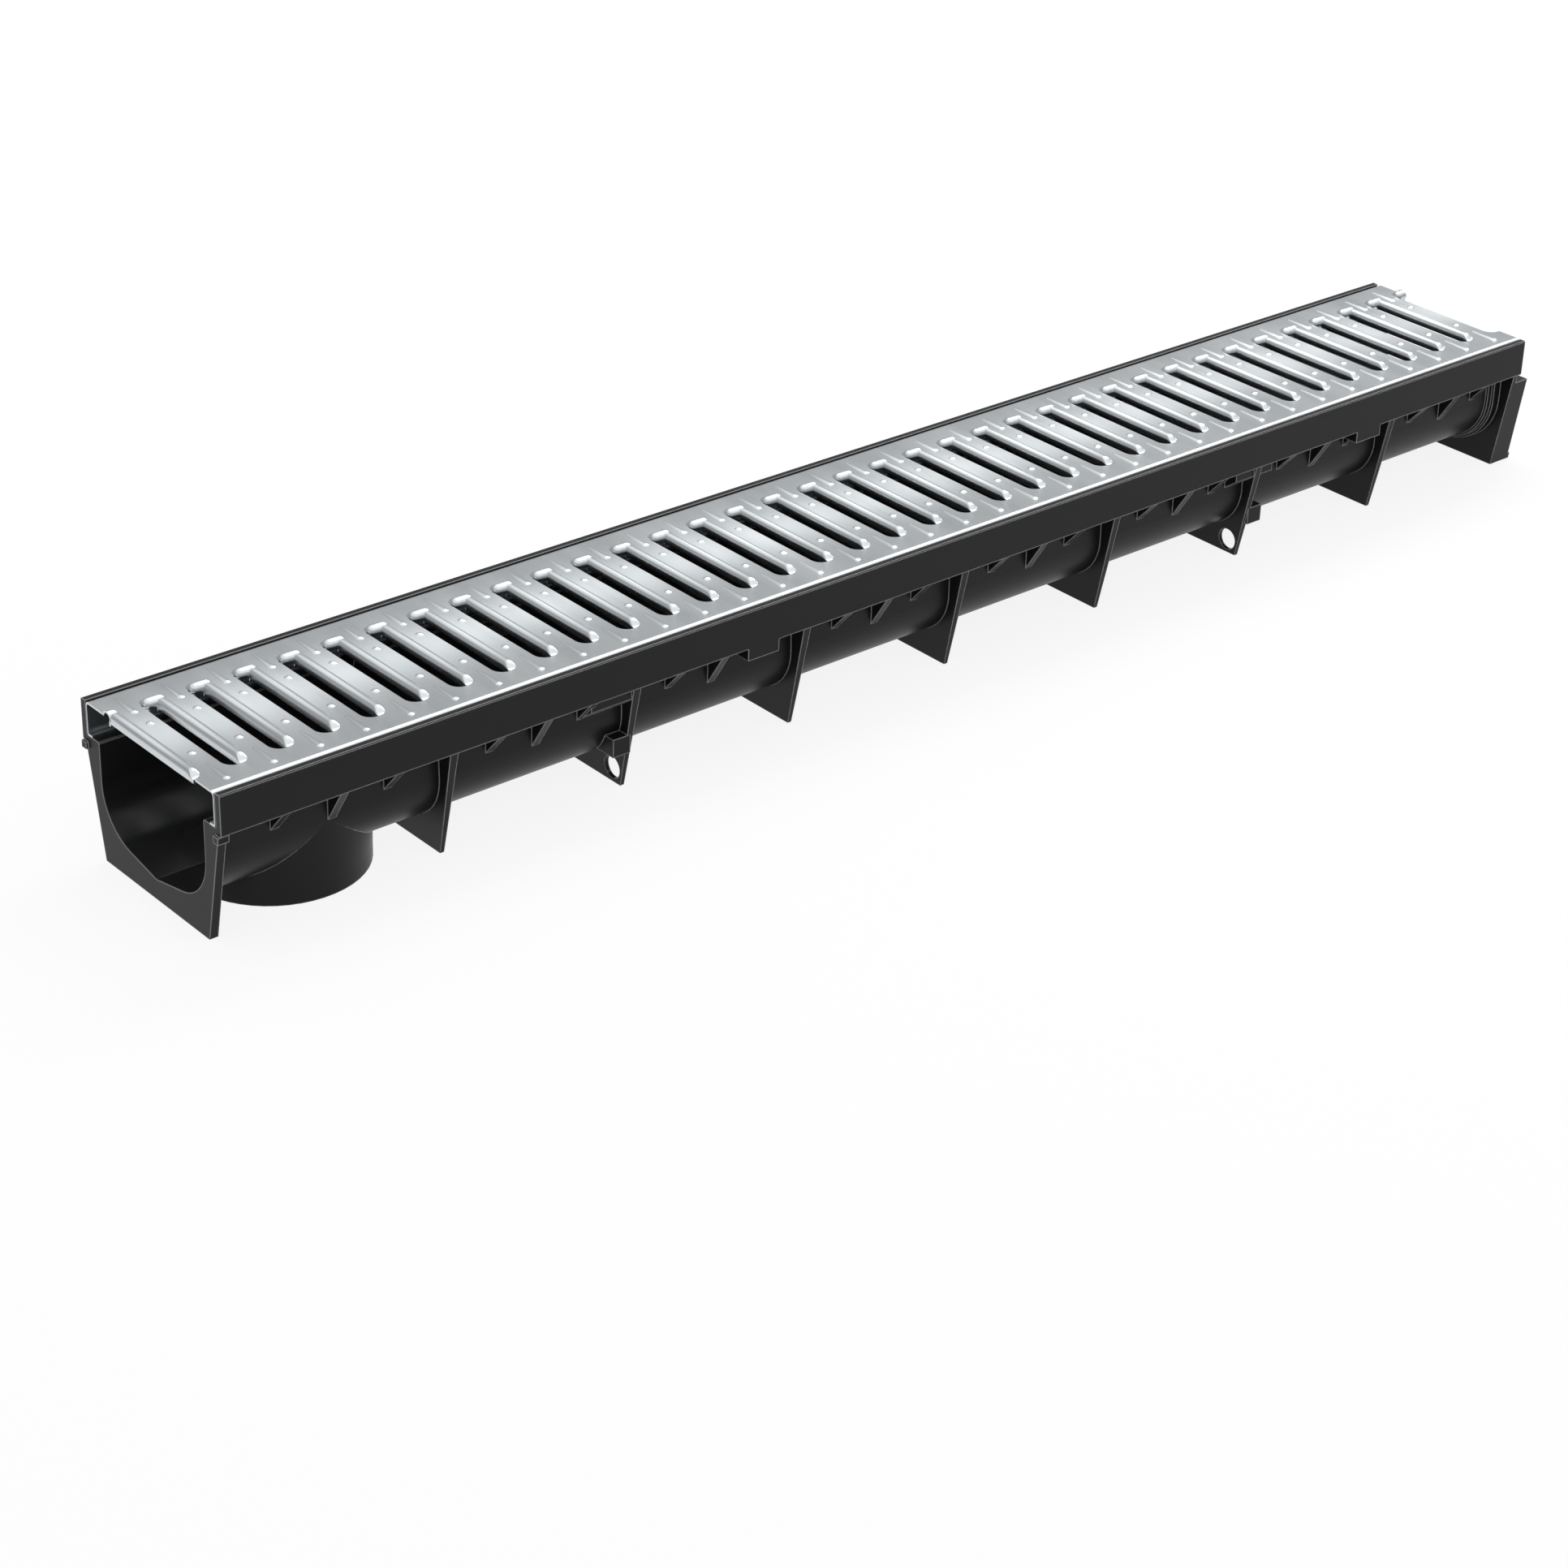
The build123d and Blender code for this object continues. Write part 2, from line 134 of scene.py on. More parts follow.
# %% A graph that builds its own nodes
class Graph:
    """The nodes of a material or of the world."""

    def __init__(self, owner):
        owner.use_nodes = True
        self.tree = owner.node_tree

    def node(self, kind, settings=None, inputs=None, output=0):
        made = self.tree.nodes.new(kind)
        for name, setting in (settings or {}).items():
            setattr(made, name, setting)
        for name, given in (inputs or {}).items():
            self.feed(made.inputs[name], given)
        return Value(self, made.outputs[output])

    def feed(self, socket, given):
        if isinstance(given, Value):
            self.tree.links.new(given.socket, socket)
        else:
            socket.default_value = given

    def dot(self, first, second):
        """The dot product of two vectors."""
        settings = {"operation": "DOT_PRODUCT"}
        return self.node("ShaderNodeVectorMath", settings, {0: first, 1: second}, "Value")

    def span(self, value, start, end, **settings):
        """A ramp from 0, where the value is start, to 1, where it is end."""
        inputs = {"Value": value, "From Min": start, "From Max": end}
        return self.node("ShaderNodeMapRange", settings, inputs)


print("Graph ready")


# %% A material on one shader
class Finish(Graph):
    """A material on one Principled shader. Plain numbers go straight on the shader's sockets."""

    def __init__(self, name, **constants):
        self.material = bpy.data.materials.new(name)
        super().__init__(self.material)
        self.shader = self.tree.nodes["Principled BSDF"]
        self.output = self.tree.nodes["Material Output"]
        for socket, number in constants.items():
            self.shader.inputs[socket.replace("_", " ")].default_value = number

    def drive(self, socket, value):
        self.feed(self.shader.inputs[socket], value)

    def place(self, scale=(1, 1, 1)):
        """The point on the piece in metres, stretched by a scale for grain that runs one way."""
        at = self.node("ShaderNodeTexCoord", output="Object")
        return self.node("ShaderNodeMapping", {}, {"Vector": at, "Scale": scale})

    def noise(self, where, scale, detail=3.0, roughness=0.5):
        values = {"Vector": where, "Scale": scale, "Detail": detail, "Roughness": roughness}
        return self.node("ShaderNodeTexNoise", {}, values, "Fac")

    def blend(self, factor, dark, light):
        """A colour between two colours."""
        made = self.node("ShaderNodeMix", {"data_type": "RGBA"}, output=2)
        inputs = made.socket.node.inputs
        for socket, given in ((0, factor), (6, dark), (7, light)):
            self.feed(inputs[socket], (*given, 1) if isinstance(given, tuple) else given)
        return made


print("Finish ready")

# %% [markdown]
# ## Black moulded plastic
# The channel is injection moulded in one shot of black plastic. Such a skin is never quite
# even: it has a very fine texture from the tool, slow bands where the melt cooled, and edges
# that are a little rounded. The Bevel node rounds the look of each edge without touching the
# mesh. Where its normal differs from the flat one there is an edge, and there a paler grey is
# painted in as a highlight: the thin pale lines on the ribs, the ledge and the seats, at hollow
# junctions as well as at outer edges.
# The core of the mould, which shapes the trough, is polished, so faces that look towards the
# trough's axis get a clear coat and with it the long sheen on the trough's bottom.

# %% Black plastic
dark, light = (0.0070, 0.0075, 0.0073), (0.0100, 0.0105, 0.0103)
# painted highlight: a pale grey laid on every edge, hollow or outer, where the Bevel normal turns
painted_edge_highlight = (0.36, 0.365, 0.365)
trough_axis = (0.0, 0.0, 0.062)
plastic = Finish("black_moulded_plastic", Specular_IOR_Level=0.16, Coat_Roughness=0.25)
spot = plastic.place()
slow = plastic.noise(plastic.place((0.25, 1, 1)), 30, 4, 0.55)
fine = plastic.noise(spot, 900, 2, 0.6)
rounded = plastic.node("ShaderNodeBevel", {"samples": 6}, {"Radius": 0.0010})
facing = plastic.node("ShaderNodeNewGeometry", output="True Normal")
# mask of the painted edge highlight: 1 where the rounded normal leaves the true one
edge = plastic.span(plastic.dot(rounded, facing), 0.995, 0.93)
plastic.drive("Base Color", plastic.blend(edge, plastic.blend(slow, dark, light), painted_edge_highlight))
plastic.drive("Roughness", 0.30 + slow * 0.10 + fine * 0.05)
across_trough = {0: spot, 1: (0.0, -1.0, -1.0), 2: trough_axis}
to_axis = plastic.node("ShaderNodeVectorMath", {"operation": "MULTIPLY_ADD"}, across_trough)
core_side = plastic.span(plastic.dot(to_axis, facing), 0.010, 0.020)
plastic.drive("Coat Weight", core_side * 0.95)
skin = {"Strength": 0.10, "Distance": 0.0002, "Height": fine, "Normal": rounded}
plastic.drive("Normal", plastic.node("ShaderNodeBump", {}, skin))
channel.data.materials.clear()
channel.data.materials.append(plastic.material)
print("plastic has", len(plastic.tree.nodes), "nodes")

# %% [markdown]
# ## Galvanised sheet
# The grating is stamped from bright galvanised strip. Rolling leaves very fine scratches that
# run across the strip in bands, so one noise is stretched along Y and left short along X.
# Zinc is a pale blue grey and a little dull, so its roughness moves between satin and matt.
# The strip springs into a slight crown across its width, which a broad Bump gives: it is too
# shallow to model, but it turns the middle of each strip to the light. The two bent sides
# mirror this scene's white floor, while the picture shows them as a darker grey. So their zinc
# is written darker than the top's, although it is the same metal.

# %% Galvanised steel
# In metres from the grating's middle line: where the flanges' painted shade sets in, and the crown
flange_from, flange_to = 0.0598, 0.0611
crown_line, crown_turn, crown_height = 0.008, 54.0, 0.0017
steel = Finish("galvanised_sheet", Metallic=1.0)
scratch = steel.noise(steel.place((1, 0.04, 0.04)), 1400, 3, 0.6)
band = steel.noise(steel.place((1, 0.12, 0.3)), 55, 3, 0.5)
cloud = steel.noise(steel.place(), 14, 3, 0.55)
mottle = band * 0.6 + cloud * 0.4
point = steel.node("ShaderNodeTexCoord", output="Object")
across = steel.node("ShaderNodeSeparateXYZ", {}, {0: point}, "Y")
outwards = steel.node("ShaderNodeMath", {"operation": "ABSOLUTE"}, {0: across})
bent = steel.span(outwards, flange_from, flange_to)
top_zinc = steel.blend(mottle, (0.50, 0.54, 0.56), (0.72, 0.745, 0.755))
# painted shade: the flanges get a darker zinc than the top, though it is the same metal
shaded_side_zinc = steel.blend(mottle, (0.235, 0.255, 0.275), (0.34, 0.36, 0.38))
steel.drive("Base Color", steel.blend(bent, top_zinc, shaded_side_zinc))
steel.drive("Roughness", 0.20 + band * 0.10 + scratch * 0.10)
turned = (across - crown_line) * crown_turn
crown = steel.node("ShaderNodeMath", {"operation": "SINE"}, {0: turned})
bulge = {"Strength": 1.0, "Distance": crown_height, "Height": crown}
sprung = steel.node("ShaderNodeBump", {}, bulge)
grain = {"Strength": 0.12, "Distance": 0.0002, "Height": scratch, "Normal": sprung}
steel.drive("Normal", steel.node("ShaderNodeBump", {}, grain))
print("steel has", len(steel.tree.nodes), "nodes")

# %% [markdown]
# ## Sheet metal as pairs of skins
# Every pressed form is a sheet 1.2 mm thick that bends. The builder below takes the outer
# skin as a grid of points, takes the inner skin as a second grid, and closes the two along
# their free edges. Cells can be left out, which is how the windows in the flanges are cut.


# %% A folded sheet from two grids
class SheetMetal:
    """Collects vertices in millimetres and faces for one mesh."""

    def __init__(self):
        self.points = []
        self.faces = []
        self.count = 0

    def add(self, points, faces):
        self.points.append(np.asarray(points, float).reshape(-1, 3))
        self.faces += [tuple(i + self.count for i in face) for face in faces]
        self.count += len(self.points[-1])

    def skins(self, outer, inner, missing=(), loop=False):
        """Two grids of points (rows, columns, 3) closed along every free edge."""
        outer, inner = np.asarray(outer, float), np.asarray(inner, float)
        rows, columns = outer.shape[:2]
        last = rows if loop else rows - 1
        cells = {(i, j) for i in range(last) for j in range(columns - 1)} - set(missing)
        offset = rows * columns
        faces = []
        for i, j in sorted(cells):
            k = (i + 1) % rows
            a, b = i * columns + j, k * columns + j
            c, d = b + 1, a + 1
            faces.append((a, b, c, d))
            faces.append((offset + d, offset + c, offset + b, offset + a))
            ring = (((i, j - 1), a, b), ((i + 1, j), b, c), ((i, j + 1), c, d), ((i - 1, j), d, a))
            for (row, column), p, q in ring:
                beside = (row % rows if loop else row, column)
                if beside not in cells:
                    faces.append((q, p, offset + p, offset + q))
        self.add(np.concatenate([outer.reshape(-1, 3), inner.reshape(-1, 3)]), faces)


print("sheet builder ready")


# %% [markdown]
# ## One slot's rolled edge
# One side of each slot is rolled over into a half-round bead. Its free edge is turned down
# into the slot as a short wall and curled in below. The profile is drawn once across the slot
# and then run along it. A small hollow curve leads from the flat plate into the bead, as a
# press tool leaves it.


# %% Profile of the rolled bead
BLEND_STEPS = 4
CURL_STEPS = 5


def bead_profile(radius=3.2, blend=1.2, wall=4.4, curl=1.5, turns=12):
    """Outer and inner (x, z) points from the plate, over the bead and down to the curled edge."""
    centre = (radius, -sheet)
    bore = radius - sheet
    reach = radius + blend
    foot = sqrt(reach**2 - (sheet + blend) ** 2)
    hollow = np.arctan2(sheet + blend, foot)
    outer = []
    for k in range(BLEND_STEPS):
        a = -pi / 2 - (pi / 2 - hollow) * k / BLEND_STEPS
        outer.append((radius + foot + blend * cos(a), blend + blend * sin(a)))
    for k in range(turns + 1):
        a = hollow + (pi - hollow) * k / turns
        outer.append((centre[0] + radius * cos(a), centre[1] + radius * sin(a)))
    for k in range(CURL_STEPS + 1):
        a = pi + pi / 2 * k / CURL_STEPS
        outer.append((curl + curl * cos(a), curl - wall + curl * sin(a)))
    inner = []
    for k in range(BLEND_STEPS):
        inner.append((2 * radius - sheet + 0.3 * (BLEND_STEPS - k), -sheet))
    for k in range(turns + 1):
        a = pi * k / turns
        inner.append((centre[0] + bore * cos(a), centre[1] + bore * sin(a)))
    for k in range(CURL_STEPS + 1):
        a = pi + pi / 2 * k / CURL_STEPS
        inner.append((curl + (curl - sheet) * cos(a), curl - wall + (curl - sheet) * sin(a)))
    return np.array(outer), np.array(inner)


bead_outer, bead_inner = bead_profile()
print(len(bead_outer), "points across the bead")


# %% Run the bead along one slot
# Stations along the bead: (y, share of its full height there)
NOSE = (
    (-42.4, 0.0), (-40.9, 0.0), (-40.3, 0.13), (-39.4, 0.42),
    (-38.4, 0.70), (-37.4, 0.90), (-36.2, 0.99),
)
BEAD_STATIONS = NOSE + ((-35.2, 1.0), (36.9, 1.0))
ROLL_POINTS = len(bead_outer) - (CURL_STEPS + 1)


def run_bead(metal, place, floor=-1.35):
    """The roll ends in a round nose at the near side, on a flat floor beside the slot."""
    skins = []
    for profile, level in ((bead_outer, floor), (bead_inner, floor - sheet)):
        rows = []
        for y, swell in BEAD_STATIONS:
            row = []
            for k, (x, z) in enumerate(profile):
                pressed = level + (z - level) * swell if k < ROLL_POINTS else z
                row.append((place + x, y, pressed))
            rows.append(row)
        skins.append(rows)
    metal.skins(skins[0], skins[1])


print(len(NOSE), "of", len(BEAD_STATIONS), "stations shape the nose")


# %% [markdown]
# ## The hood over the far end of a slot
# The far end of each slot is closed by a small pill-shaped hood, pressed up from the sheet.
# Seen from above its outline is a capsule, so every point of it is a step outwards from a
# short spine. Over the slot it pulls in to a crease and is turned down as a wall, and
# elsewhere it runs out into the plate with the same small hollow curve as the bead.


# %% Hood
# Both ends of the spine in x and its y, and the x where the hood has left the slot's edge
SPINE_LEFT, SPINE_RIGHT, SPINE_Y = -3.6, 2.9, 40.0
PAST_SLOT = 0.8


def hood_column(over_slot, radius=4.1, rise=3.8, blend=1.0, wall=5.0, turns=8):
    """Outer and inner (outwards, z) points from the foot of the hood to its crown."""
    reach = radius + blend
    foot = sqrt(reach**2 - (sheet + blend) ** 2)
    hollow = 0.0 if over_slot else np.arctan2(sheet + blend, foot)
    crease = ((0.7, -wall), (0.7, -2.4), (0.55, -2.0), (0.12, -1.6))
    outer, inner = [], []
    for k in range(BLEND_STEPS):
        if over_slot:
            inset, z = crease[k]
            outer.append((radius - inset, z))
            inner.append((radius - inset - sheet, z))
        else:
            a = -pi / 2 - (pi / 2 - hollow) * k / BLEND_STEPS
            outer.append((foot + blend * cos(a), blend + blend * sin(a)))
            inner.append((radius - sheet + 0.1 * (BLEND_STEPS - k), -sheet))
    for k in range(turns + 1):
        a = hollow + (pi / 2 - hollow) * k / turns
        outer.append((radius * cos(a), -sheet + rise * sin(a)))
        b = pi / 2 * k / turns
        inner.append(((radius - sheet) * cos(b), -sheet + (rise - sheet) * sin(b)))
    return outer, inner


def hood_ring(left_half=True, right_half=True):
    """Stations round the spine: (spine x, direction, whether it hangs over the slot)."""
    ring = []
    if right_half:
        ring += [(0.0, -90, True), (PAST_SLOT, -90, False)]
        ring += [(SPINE_RIGHT, a, False) for a in range(-90, 91, 15)]
    ring.append((0.0, 90, False))
    if left_half:
        ring += [(SPINE_LEFT, a, False) for a in range(90, 166, 15)]
        ring += [(SPINE_LEFT, a, True) for a in range(180, 271, 15)]
    if not right_half:
        ring.append((0.0, 270, True))
    return ring


def press_hood(metal, place, **halves):
    """A whole hood, or one half of it where the grating's end cuts through the slot."""
    outer, inner = [], []
    for x, direction, over_slot in hood_ring(**halves):
        way = (cos(radians(direction)), sin(radians(direction)))
        for skin, column in zip((outer, inner), hood_column(over_slot)):
            skin.append([(place + x + r * way[0], SPINE_Y + r * way[1], z) for r, z in column])
    metal.skins(outer, inner, loop=not halves)


print("hood ring of", len(hood_ring()), "stations")


# %% [markdown]
# ## Raised marks on the strips
# Between two slots the sheet carries two tapered ribs and two round dimples. They stiffen the
# strip and give grip. Each is a low mound on a spine whose two ends may differ in width. Its
# flanks are steep at the foot and gentle above, alike all round, so the wide end is also the
# higher one. A dimple is the same mound with a spine of no length.


# %% Low mounds
# From the foot to the crown: (share of the half-width, share of the height)
MOUND = (
    (0, 0), (0.05, 0.08), (0.13, 0.27), (0.22, 0.45), (0.32, 0.57),
    (0.5, 0.76), (0.68, 0.93), (0.8, 0.99), (1, 1),
)
# Each mark: both ends of its spine along Y, and its half-width at both
MARKS = (
    (35.5, 52.6, 2.3, 1.25),
    (-51.4, -34.2, 2.3, 1.25),
    (-19.7, -19.7, 2.3, 2.3),
    (19.7, 19.7, 2.3, 2.3),
)
STRIP_MIDDLE = 13.3


def press_mound(metal, x, start, end, start_radius, end_radius, rise=0.34):
    """A mound on a spine along Y; rise is its height for each mm of half-width."""
    ring = [(end, end_radius, a) for a in range(0, 181, 20)]
    ring += [(start, start_radius, a) for a in range(180, 361, 20)]
    rows = []
    for y, radius, direction in ring:
        way = (cos(radians(direction)), sin(radians(direction)))
        row = []
        for step, climb in MOUND:
            out = radius * (1 - step)
            row.append((x + out * way[0], y + out * way[1], rise * radius * climb))
        rows.append(row)
    rows = np.array(rows)
    count, columns = rows.shape[:2]
    faces = []
    for i in range(count):
        k = (i + 1) % count
        for j in range(columns - 1):
            a, b = i * columns + j, k * columns + j
            faces.append((a, b, b + 1, a + 1))
    metal.add(rows, faces)


def mark_strip(metal, slot):
    for mark in MARKS:
        press_mound(metal, slot + STRIP_MIDDLE, *mark)


print(len(MARKS), "marks on each strip")


# %% [markdown]
# ## The flat plate with its slots
# A flat plate with many holes is what a filled 2D curve does best: the outer outline and
# every hole is a closed spline, and the fill and the thickness come by themselves. The two
# ends of the grating cut through a slot, so there the outline has notches. The punch draws the
# sheet down a little at the slot's edge, so a small round lip is added along it.


# %% Outline of one slot
NEAR_STEPS = 14


def slot_outline(under_hood=3.2):
    """Closed outline of the hole in the plate: its round near end, then what the hood hides."""
    middle, radius, turn = -1.15, 6.95, -36.65
    points = []
    for k in range(NEAR_STEPS + 1):
        a = pi + pi * k / NEAR_STEPS
        points.append((middle + radius * cos(a), turn + radius * sin(a)))
    for x, first in ((SPINE_RIGHT, 0), (SPINE_LEFT, 90)):
        for a in range(first, first + 91, 30):
            step = (under_hood * cos(radians(a)), under_hood * sin(radians(a)))
            points.append((x + step[0], SPINE_Y + step[1]))
    points += [(-7.5, 39.2), (-7.95, 37.9), (-8.1, 36.4)]
    return points


def grow(points, distance):
    """The same outline, set outwards by a distance."""
    grown = []
    for k, (x, y) in enumerate(points):
        before, after = points[k - 1], points[(k + 1) % len(points)]
        along = (after[0] - before[0], after[1] - before[1])
        size = sqrt(along[0] ** 2 + along[1] ** 2)
        grown.append((x + distance * along[1] / size, y - distance * along[0] / size))
    return grown


slot_edge = slot_outline()
hole = grow(slot_edge, 0.5)
print("slot outline", len(hole), "points")


# %% Drawn lip of one slot
# Steps outwards from the slot's edge and heights, on both faces of the sheet
LIP = ((0.55, -0.02), (0.25, -0.07), (0.07, -0.25), (0.0, -0.5), (0.0, -1.7))
LIP_BACK = ((0.55, -1.2), (0.9, -1.3), (1.1, -1.4), (1.2, -1.5), (1.2, -1.7))


def draw_lip(metal, place, keep=lambda x: True):
    """A small round lip along the free side and the near end of the slot."""
    order = [len(slot_edge) - 1] + list(range(NEAR_STEPS + 1))
    skins = []
    for profile in (LIP, LIP_BACK):
        lines = [(grow(slot_edge, out), z) for out, z in profile]
        rows = []
        for k in order:
            if keep(slot_edge[k][0]):
                rows.append([(place + line[k][0], line[k][1], z) for line, z in lines])
        skins.append(rows)
    metal.skins(skins[0], skins[1])


print("lip of", len(LIP), "points across")


# %% Plate outline with a cut slot at both ends
BEND = 3.0
flat_half = half_width - BEND


def crossing(points, low_side):
    """The part of a slot outline on one side of its middle line, from near to far."""
    kept = [(x, y) for x, y in points if (x > 0) != low_side]
    kept.sort(key=lambda p: p[1])
    near = min(y for x, y in points)
    far = max(y for x, y in points)
    return [(0.0, near)] + kept + [(0.0, far)]


def plate_splines():
    start = crossing(hole, low_side=False)
    end = crossing(hole, low_side=True)
    edge = [(0, -flat_half), (length, -flat_half)]
    edge += [(length + x, y) for x, y in end]
    edge += [(length, flat_half), (0, flat_half)]
    edge += [(x, y) for x, y in reversed(start)]
    splines = [edge]
    for i in range(1, PITCHES):
        splines.append([(i * pitch + x, y) for x, y in hole])
    return splines


def fill_plate():
    flat = bpy.data.curves.new("plate", "CURVE")
    flat.dimensions = "2D"
    flat.fill_mode = "BOTH"
    flat.extrude = sheet / 2
    for outline in plate_splines():
        spline = flat.splines.new("POLY")
        spline.points.add(len(outline) - 1)
        for point, (x, y) in zip(spline.points, outline):
            point.co = (x, y, 0, 1)
        spline.use_cyclic_u = True
    holder = bpy.data.objects.new("plate", flat)
    scene.collection.objects.link(holder)
    bpy.context.view_layer.update()
    filled = holder.evaluated_get(bpy.context.evaluated_depsgraph_get())
    mesh = bpy.data.meshes.new_from_object(filled)
    bpy.data.objects.remove(holder)
    points = np.array([v.co for v in mesh.vertices]) - (0, 0, sheet / 2)
    faces = [tuple(p.vertices) for p in mesh.polygons]
    bpy.data.meshes.remove(mesh)
    return points, faces


plate_points, plate_faces = fill_plate()
print("plate", len(plate_faces), "faces")

# %% [markdown]
# ## Bends, flanges and lips
# Along both long sides the sheet bends down 20 mm and then 5 mm inwards, and the lip is what
# stands on the channel's ledge. At two places on each flange a tongue is cut free to snap
# into the rim, so the grid of cells leaves out a window and two slits there.


# %% Flange profile
# Height where the flange is flat, then radius and height of the bend into the lip, and its width
FLANGE_TOP = -3.2
LIP_BEND, LIP_TURN, LIP_REACH = 1.7, -18.3, 5.0


def flange_profile():
    """Outer and inner (y, z) points from the flat plate round to the lip."""
    outer, inner = [], []
    for a in range(0, 91, 15):
        for skin, radius in ((outer, BEND), (inner, BEND - sheet)):
            way = (radius * sin(radians(a)), radius * cos(radians(a)))
            skin.append((half_width - BEND + way[0], -BEND + way[1]))
    for z in (FLANGE_TOP, -17.4, LIP_TURN):
        outer.append((half_width, z))
        inner.append((half_width - sheet, z))
    for a in range(18, 91, 18):
        for skin, radius in ((outer, LIP_BEND), (inner, LIP_BEND - sheet)):
            way = (radius * cos(radians(a)), radius * sin(radians(a)))
            skin.append((half_width - LIP_BEND + way[0], LIP_TURN - way[1]))
    outer.append((half_width - LIP_REACH, -FLANGE_DEPTH))
    inner.append((half_width - LIP_REACH, sheet - FLANGE_DEPTH))
    return outer, inner


clip_from_end = 250.0
clip_places = (clip_from_end, length - clip_from_end)
clip_half, slit = 7.8, 2.4
stations = [0.0]
for clip in clip_places:
    stations += [clip - clip_half - slit, clip - clip_half]
    stations += [clip + clip_half, clip + clip_half + slit]
stations.append(length)
print("flange stations", stations)


# %% Fold both flanges
def fold_flanges(metal):
    """Both flanges with their lips, less the windows and slits at the four stations of a clip."""
    outer, inner = flange_profile()
    top = next(j for j, (y, z) in enumerate(outer) if z == FLANGE_TOP)
    missing = set()
    for clip in range(len(clip_places)):
        first = 1 + 4 * clip
        missing |= {(first + 1, j) for j in range(top, len(outer) - 1)}
        missing |= {(first, top), (first + 2, top)}
    for side in (1, -1):
        skins = []
        for profile in (outer, inner):
            skins.append([[(x, side * y, z) for y, z in profile] for x in stations])
        metal.skins(skins[0], skins[1], missing)


print(len(flange_profile()[0]), "points round a flange")


# %% [markdown]
# ## Snap tongues
# Each tongue is a strip of the flange, set back a little and bent out to a blunt nose near
# its lower end. On the real grating the nose springs into a recess in the rim. Here it stays
# level with the flange, so that the grating can be lifted out without touching the rim.


# %% Tongue
# From its root down to its free edge: (inset from the flange's face, height)
TONGUE = (
    (0.0, -2.2), (0.1, -3.4), (0.9, -5.0), (1.5, -6.2), (1.5, -10.6), (1.3, -11.9),
    (0.5, -13.7), (0.1, -14.5), (0.25, -15.2), (1.3, -17.6), (1.6, -18.4),
)


def bend_tongue(metal, clip, side):
    skins = []
    for depth in (0.0, sheet):
        rows = []
        for share in (-1.0, -0.5, 0.0, 0.5, 1.0):
            x = clip + clip_half * share
            rows.append([(x, side * (half_width - inset - depth), z) for inset, z in TONGUE])
        skins.append(rows)
    metal.skins(skins[0], skins[1])


print(2 * len(clip_places), "tongues")


# %% [markdown]
# ## Put the grating together
# All forms are collected in one mesh, since the real piece is one stamping. Nearby points are
# merged, faces are shaded smooth, and a sharp edge is kept wherever two faces meet at more
# than about 40 degrees.

# %% Build the grating
metal = SheetMetal()
metal.add(plate_points, plate_faces)
fold_flanges(metal)
for clip in clip_places:
    for side in (1, -1):
        bend_tongue(metal, clip, side)
for i in range(PITCHES):
    run_bead(metal, i * pitch)
    mark_strip(metal, i * pitch)
for i in range(1, PITCHES):
    press_hood(metal, i * pitch)
    draw_lip(metal, i * pitch)
press_hood(metal, 0.0, left_half=False)
draw_lip(metal, 0.0, lambda x: x > 0)
press_hood(metal, length, right_half=False)
draw_lip(metal, length, lambda x: x < 0)
print(metal.count, "points,", len(metal.faces), "faces")


# %% Mesh object
MERGE_WITHIN = 0.01
SHARP_ANGLE = 40


def mesh_piece(name, metal, finish):
    mesh = bpy.data.meshes.new(name)
    points = (np.concatenate(metal.points) + (outlet_end, 0, plate_z)) * MM
    mesh.from_pydata(points.tolist(), [], metal.faces)
    piece = bpy.data.objects.new(name, mesh)
    scene.collection.objects.link(piece)
    form = bmesh.new()
    form.from_mesh(mesh)
    bmesh.ops.remove_doubles(form, verts=form.verts, dist=MERGE_WITHIN * MM)
    bmesh.ops.recalc_face_normals(form, faces=form.faces)
    form.to_mesh(mesh)
    form.free()
    mesh.shade_smooth()
    mesh.set_sharp_from_angle(angle=radians(SHARP_ANGLE))
    mesh.materials.append(finish.material)
    return piece


grating = mesh_piece("stamped_grating", metal, steel)
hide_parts("slotted_grating")
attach(grating, "grating")
triangles = sum(len(p.vertices) - 2 for p in grating.data.polygons)
print("grating", triangles, "triangles")

# %% [markdown]
# ## Floor and light
# The part stands on a plain pale floor. To the camera, and in reflections, the floor is nearly
# white, while a soft shadow stays under the feet. The sky is an even grey with a wide bright
# panel overhead, which bends and rolls in the metal pick out. One long soft strip lamp behind
# the channel draws the sheen along its bottom, and a weak lamp opens up the outlet end. All
# together they light a surface at about the level at which its colour is written.


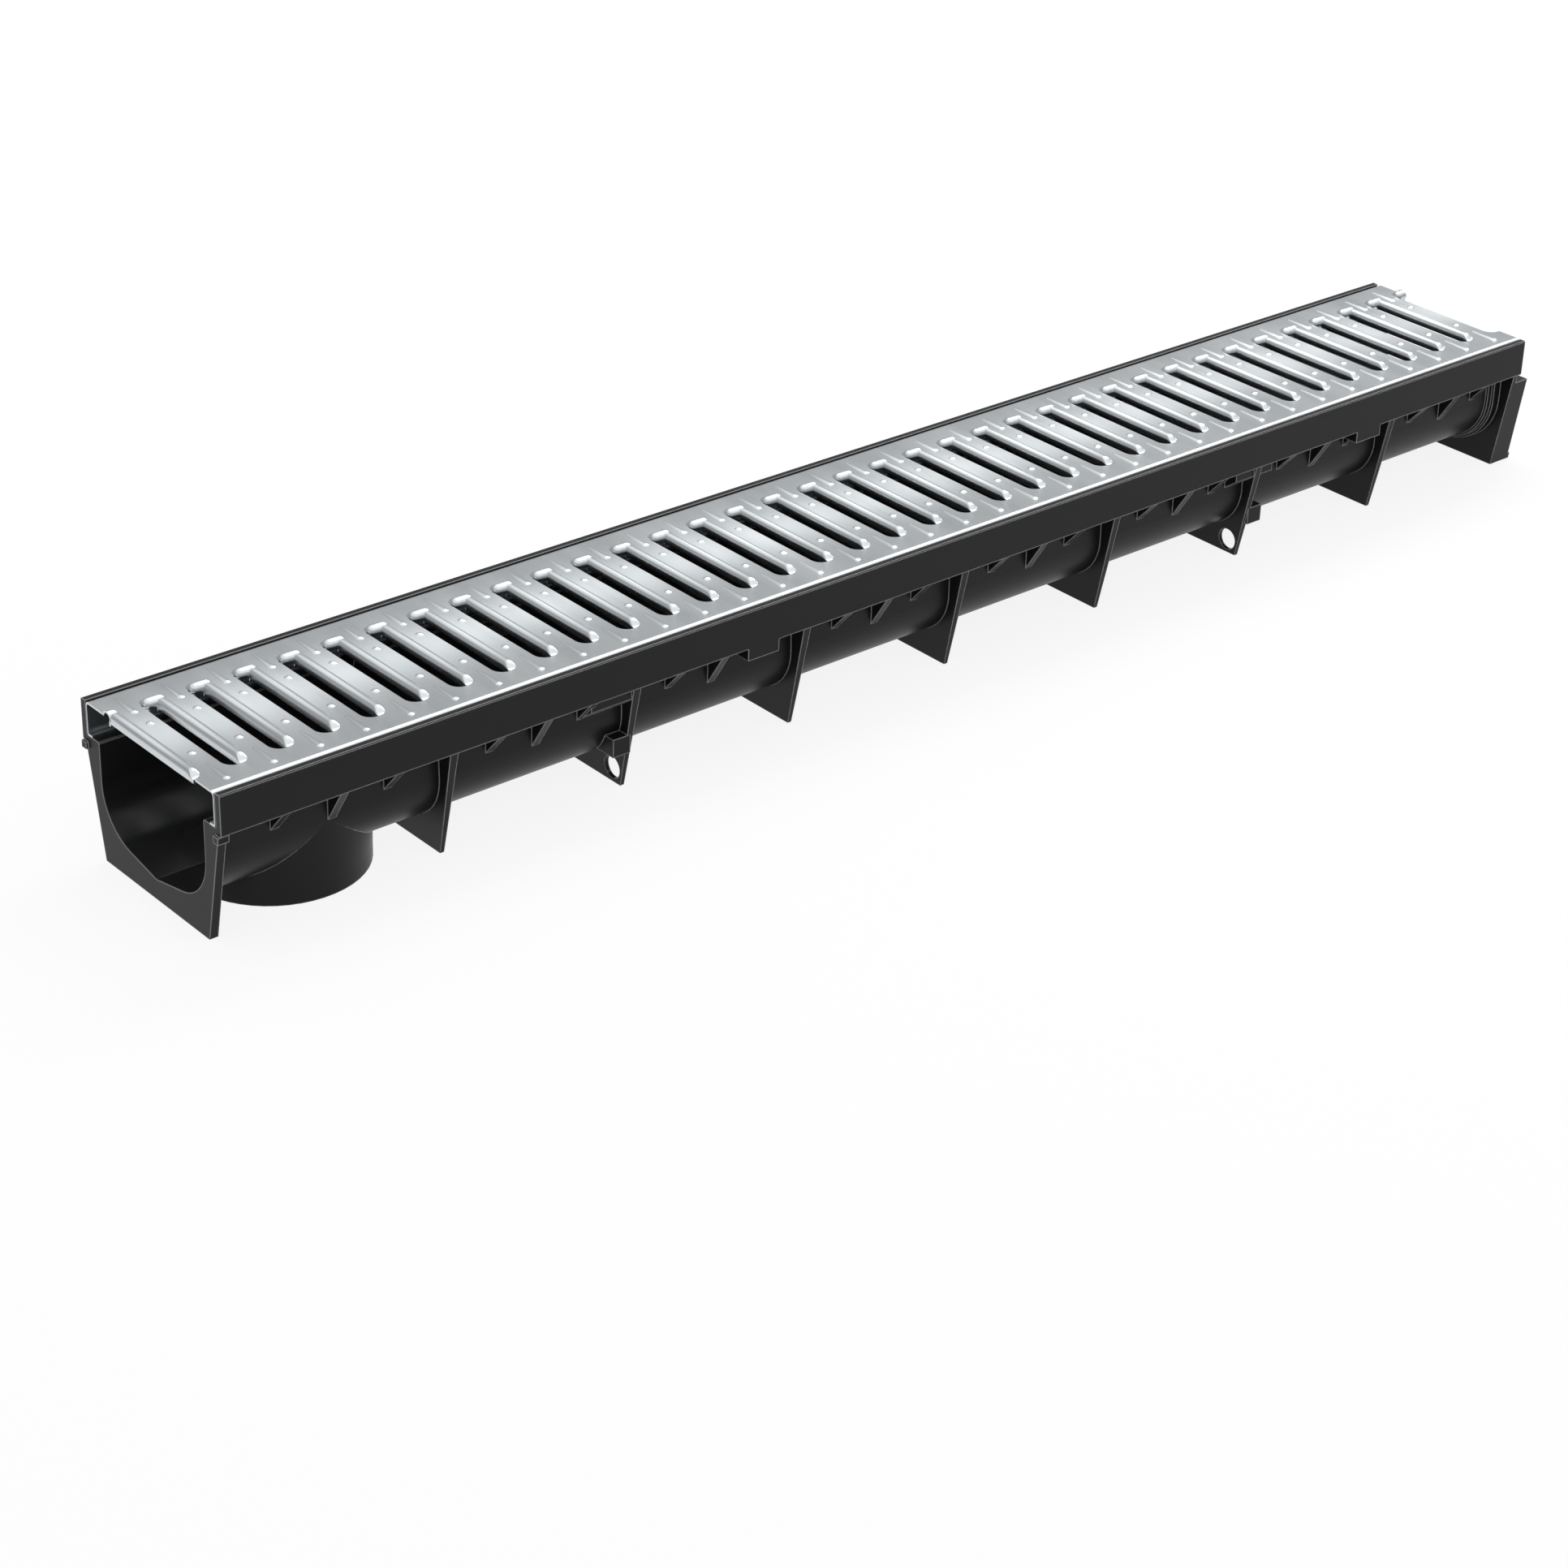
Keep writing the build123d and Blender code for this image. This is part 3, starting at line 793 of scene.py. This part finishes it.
# %% Floor
def lay_floor(size=12.0, brightness=0.88):
    mesh = bpy.data.meshes.new("floor")
    corners = [(-size, -size, 0), (size, -size, 0), (size, size, 0), (-size, size, 0)]
    mesh.from_pydata(corners, [], [(0, 1, 2, 3)])
    floor = bpy.data.objects.new("floor", mesh)
    scene.collection.objects.link(floor)
    paint = Finish("pale_floor", Roughness=0.9)
    paint.drive("Base Color", (0.80, 0.80, 0.80, 1))
    glow = paint.node("ShaderNodeEmission", {}, {"Color": (1, 1, 1, 1), "Strength": 1.0})
    path = paint.node("ShaderNodeLightPath")
    names = ("Is Camera Ray", "Is Glossy Ray", "Is Transmission Ray")
    rays = [Value(paint, path.socket.node.outputs[name]) for name in names]
    seen = (rays[0] + rays[1] + rays[2]) * brightness
    surface = Value(paint, paint.shader.outputs[0])
    mixed = paint.node("ShaderNodeMixShader", {}, {0: seen, 1: surface, 2: glow})
    paint.feed(paint.output.inputs["Surface"], mixed)
    mesh.materials.append(paint.material)


lay_floor()
print("floor laid")


# %% Lamps and sky
def hang_lamp(name, place, aim, size, power):
    lamp = bpy.data.lights.new(name, "AREA")
    lamp.shape = "RECTANGLE"
    lamp.size, lamp.size_y = size
    lamp.energy = power
    holder = bpy.data.objects.new(name, lamp)
    scene.collection.objects.link(holder)
    holder.location = place
    way = [a - p for a, p in zip(aim, place)]
    holder.rotation_euler = Vector(way).to_track_quat("-Z", "Y").to_euler()


hang_lamp("long strip", (1.6, 0.6, 1.9), (1.6, 0.0, 0.0), (2.8, 0.8), 36)
hang_lamp("left", (-2.6, -0.3, 0.9), (0, 0, 0.05), (1.0, 1.2), 2)
world = bpy.data.worlds.new("world")
scene.world = world
sky = Graph(world)
direction = sky.node("ShaderNodeTexCoord", output="Generated")
panel_middle = (0.148, 0.0, 0.989)
towards = sky.dot(direction, panel_middle)
panel = sky.span(towards, 0.54, 0.70, interpolation_type="SMOOTHSTEP")
level = 0.46 + panel * 0.74
soft = sky.node("ShaderNodeBackground", {}, {"Color": (1, 1, 1, 1), "Strength": level})
white = sky.node("ShaderNodeBackground", {}, {"Color": (1, 1, 1, 1), "Strength": 1.0})
to_camera = sky.node("ShaderNodeLightPath", output="Is Camera Ray")
surroundings = sky.node("ShaderNodeMixShader", {}, {0: to_camera, 1: soft, 2: white})
sky.feed(sky.tree.nodes["World Output"].inputs["Surface"], surroundings)
scene.view_settings.view_transform = "Standard"
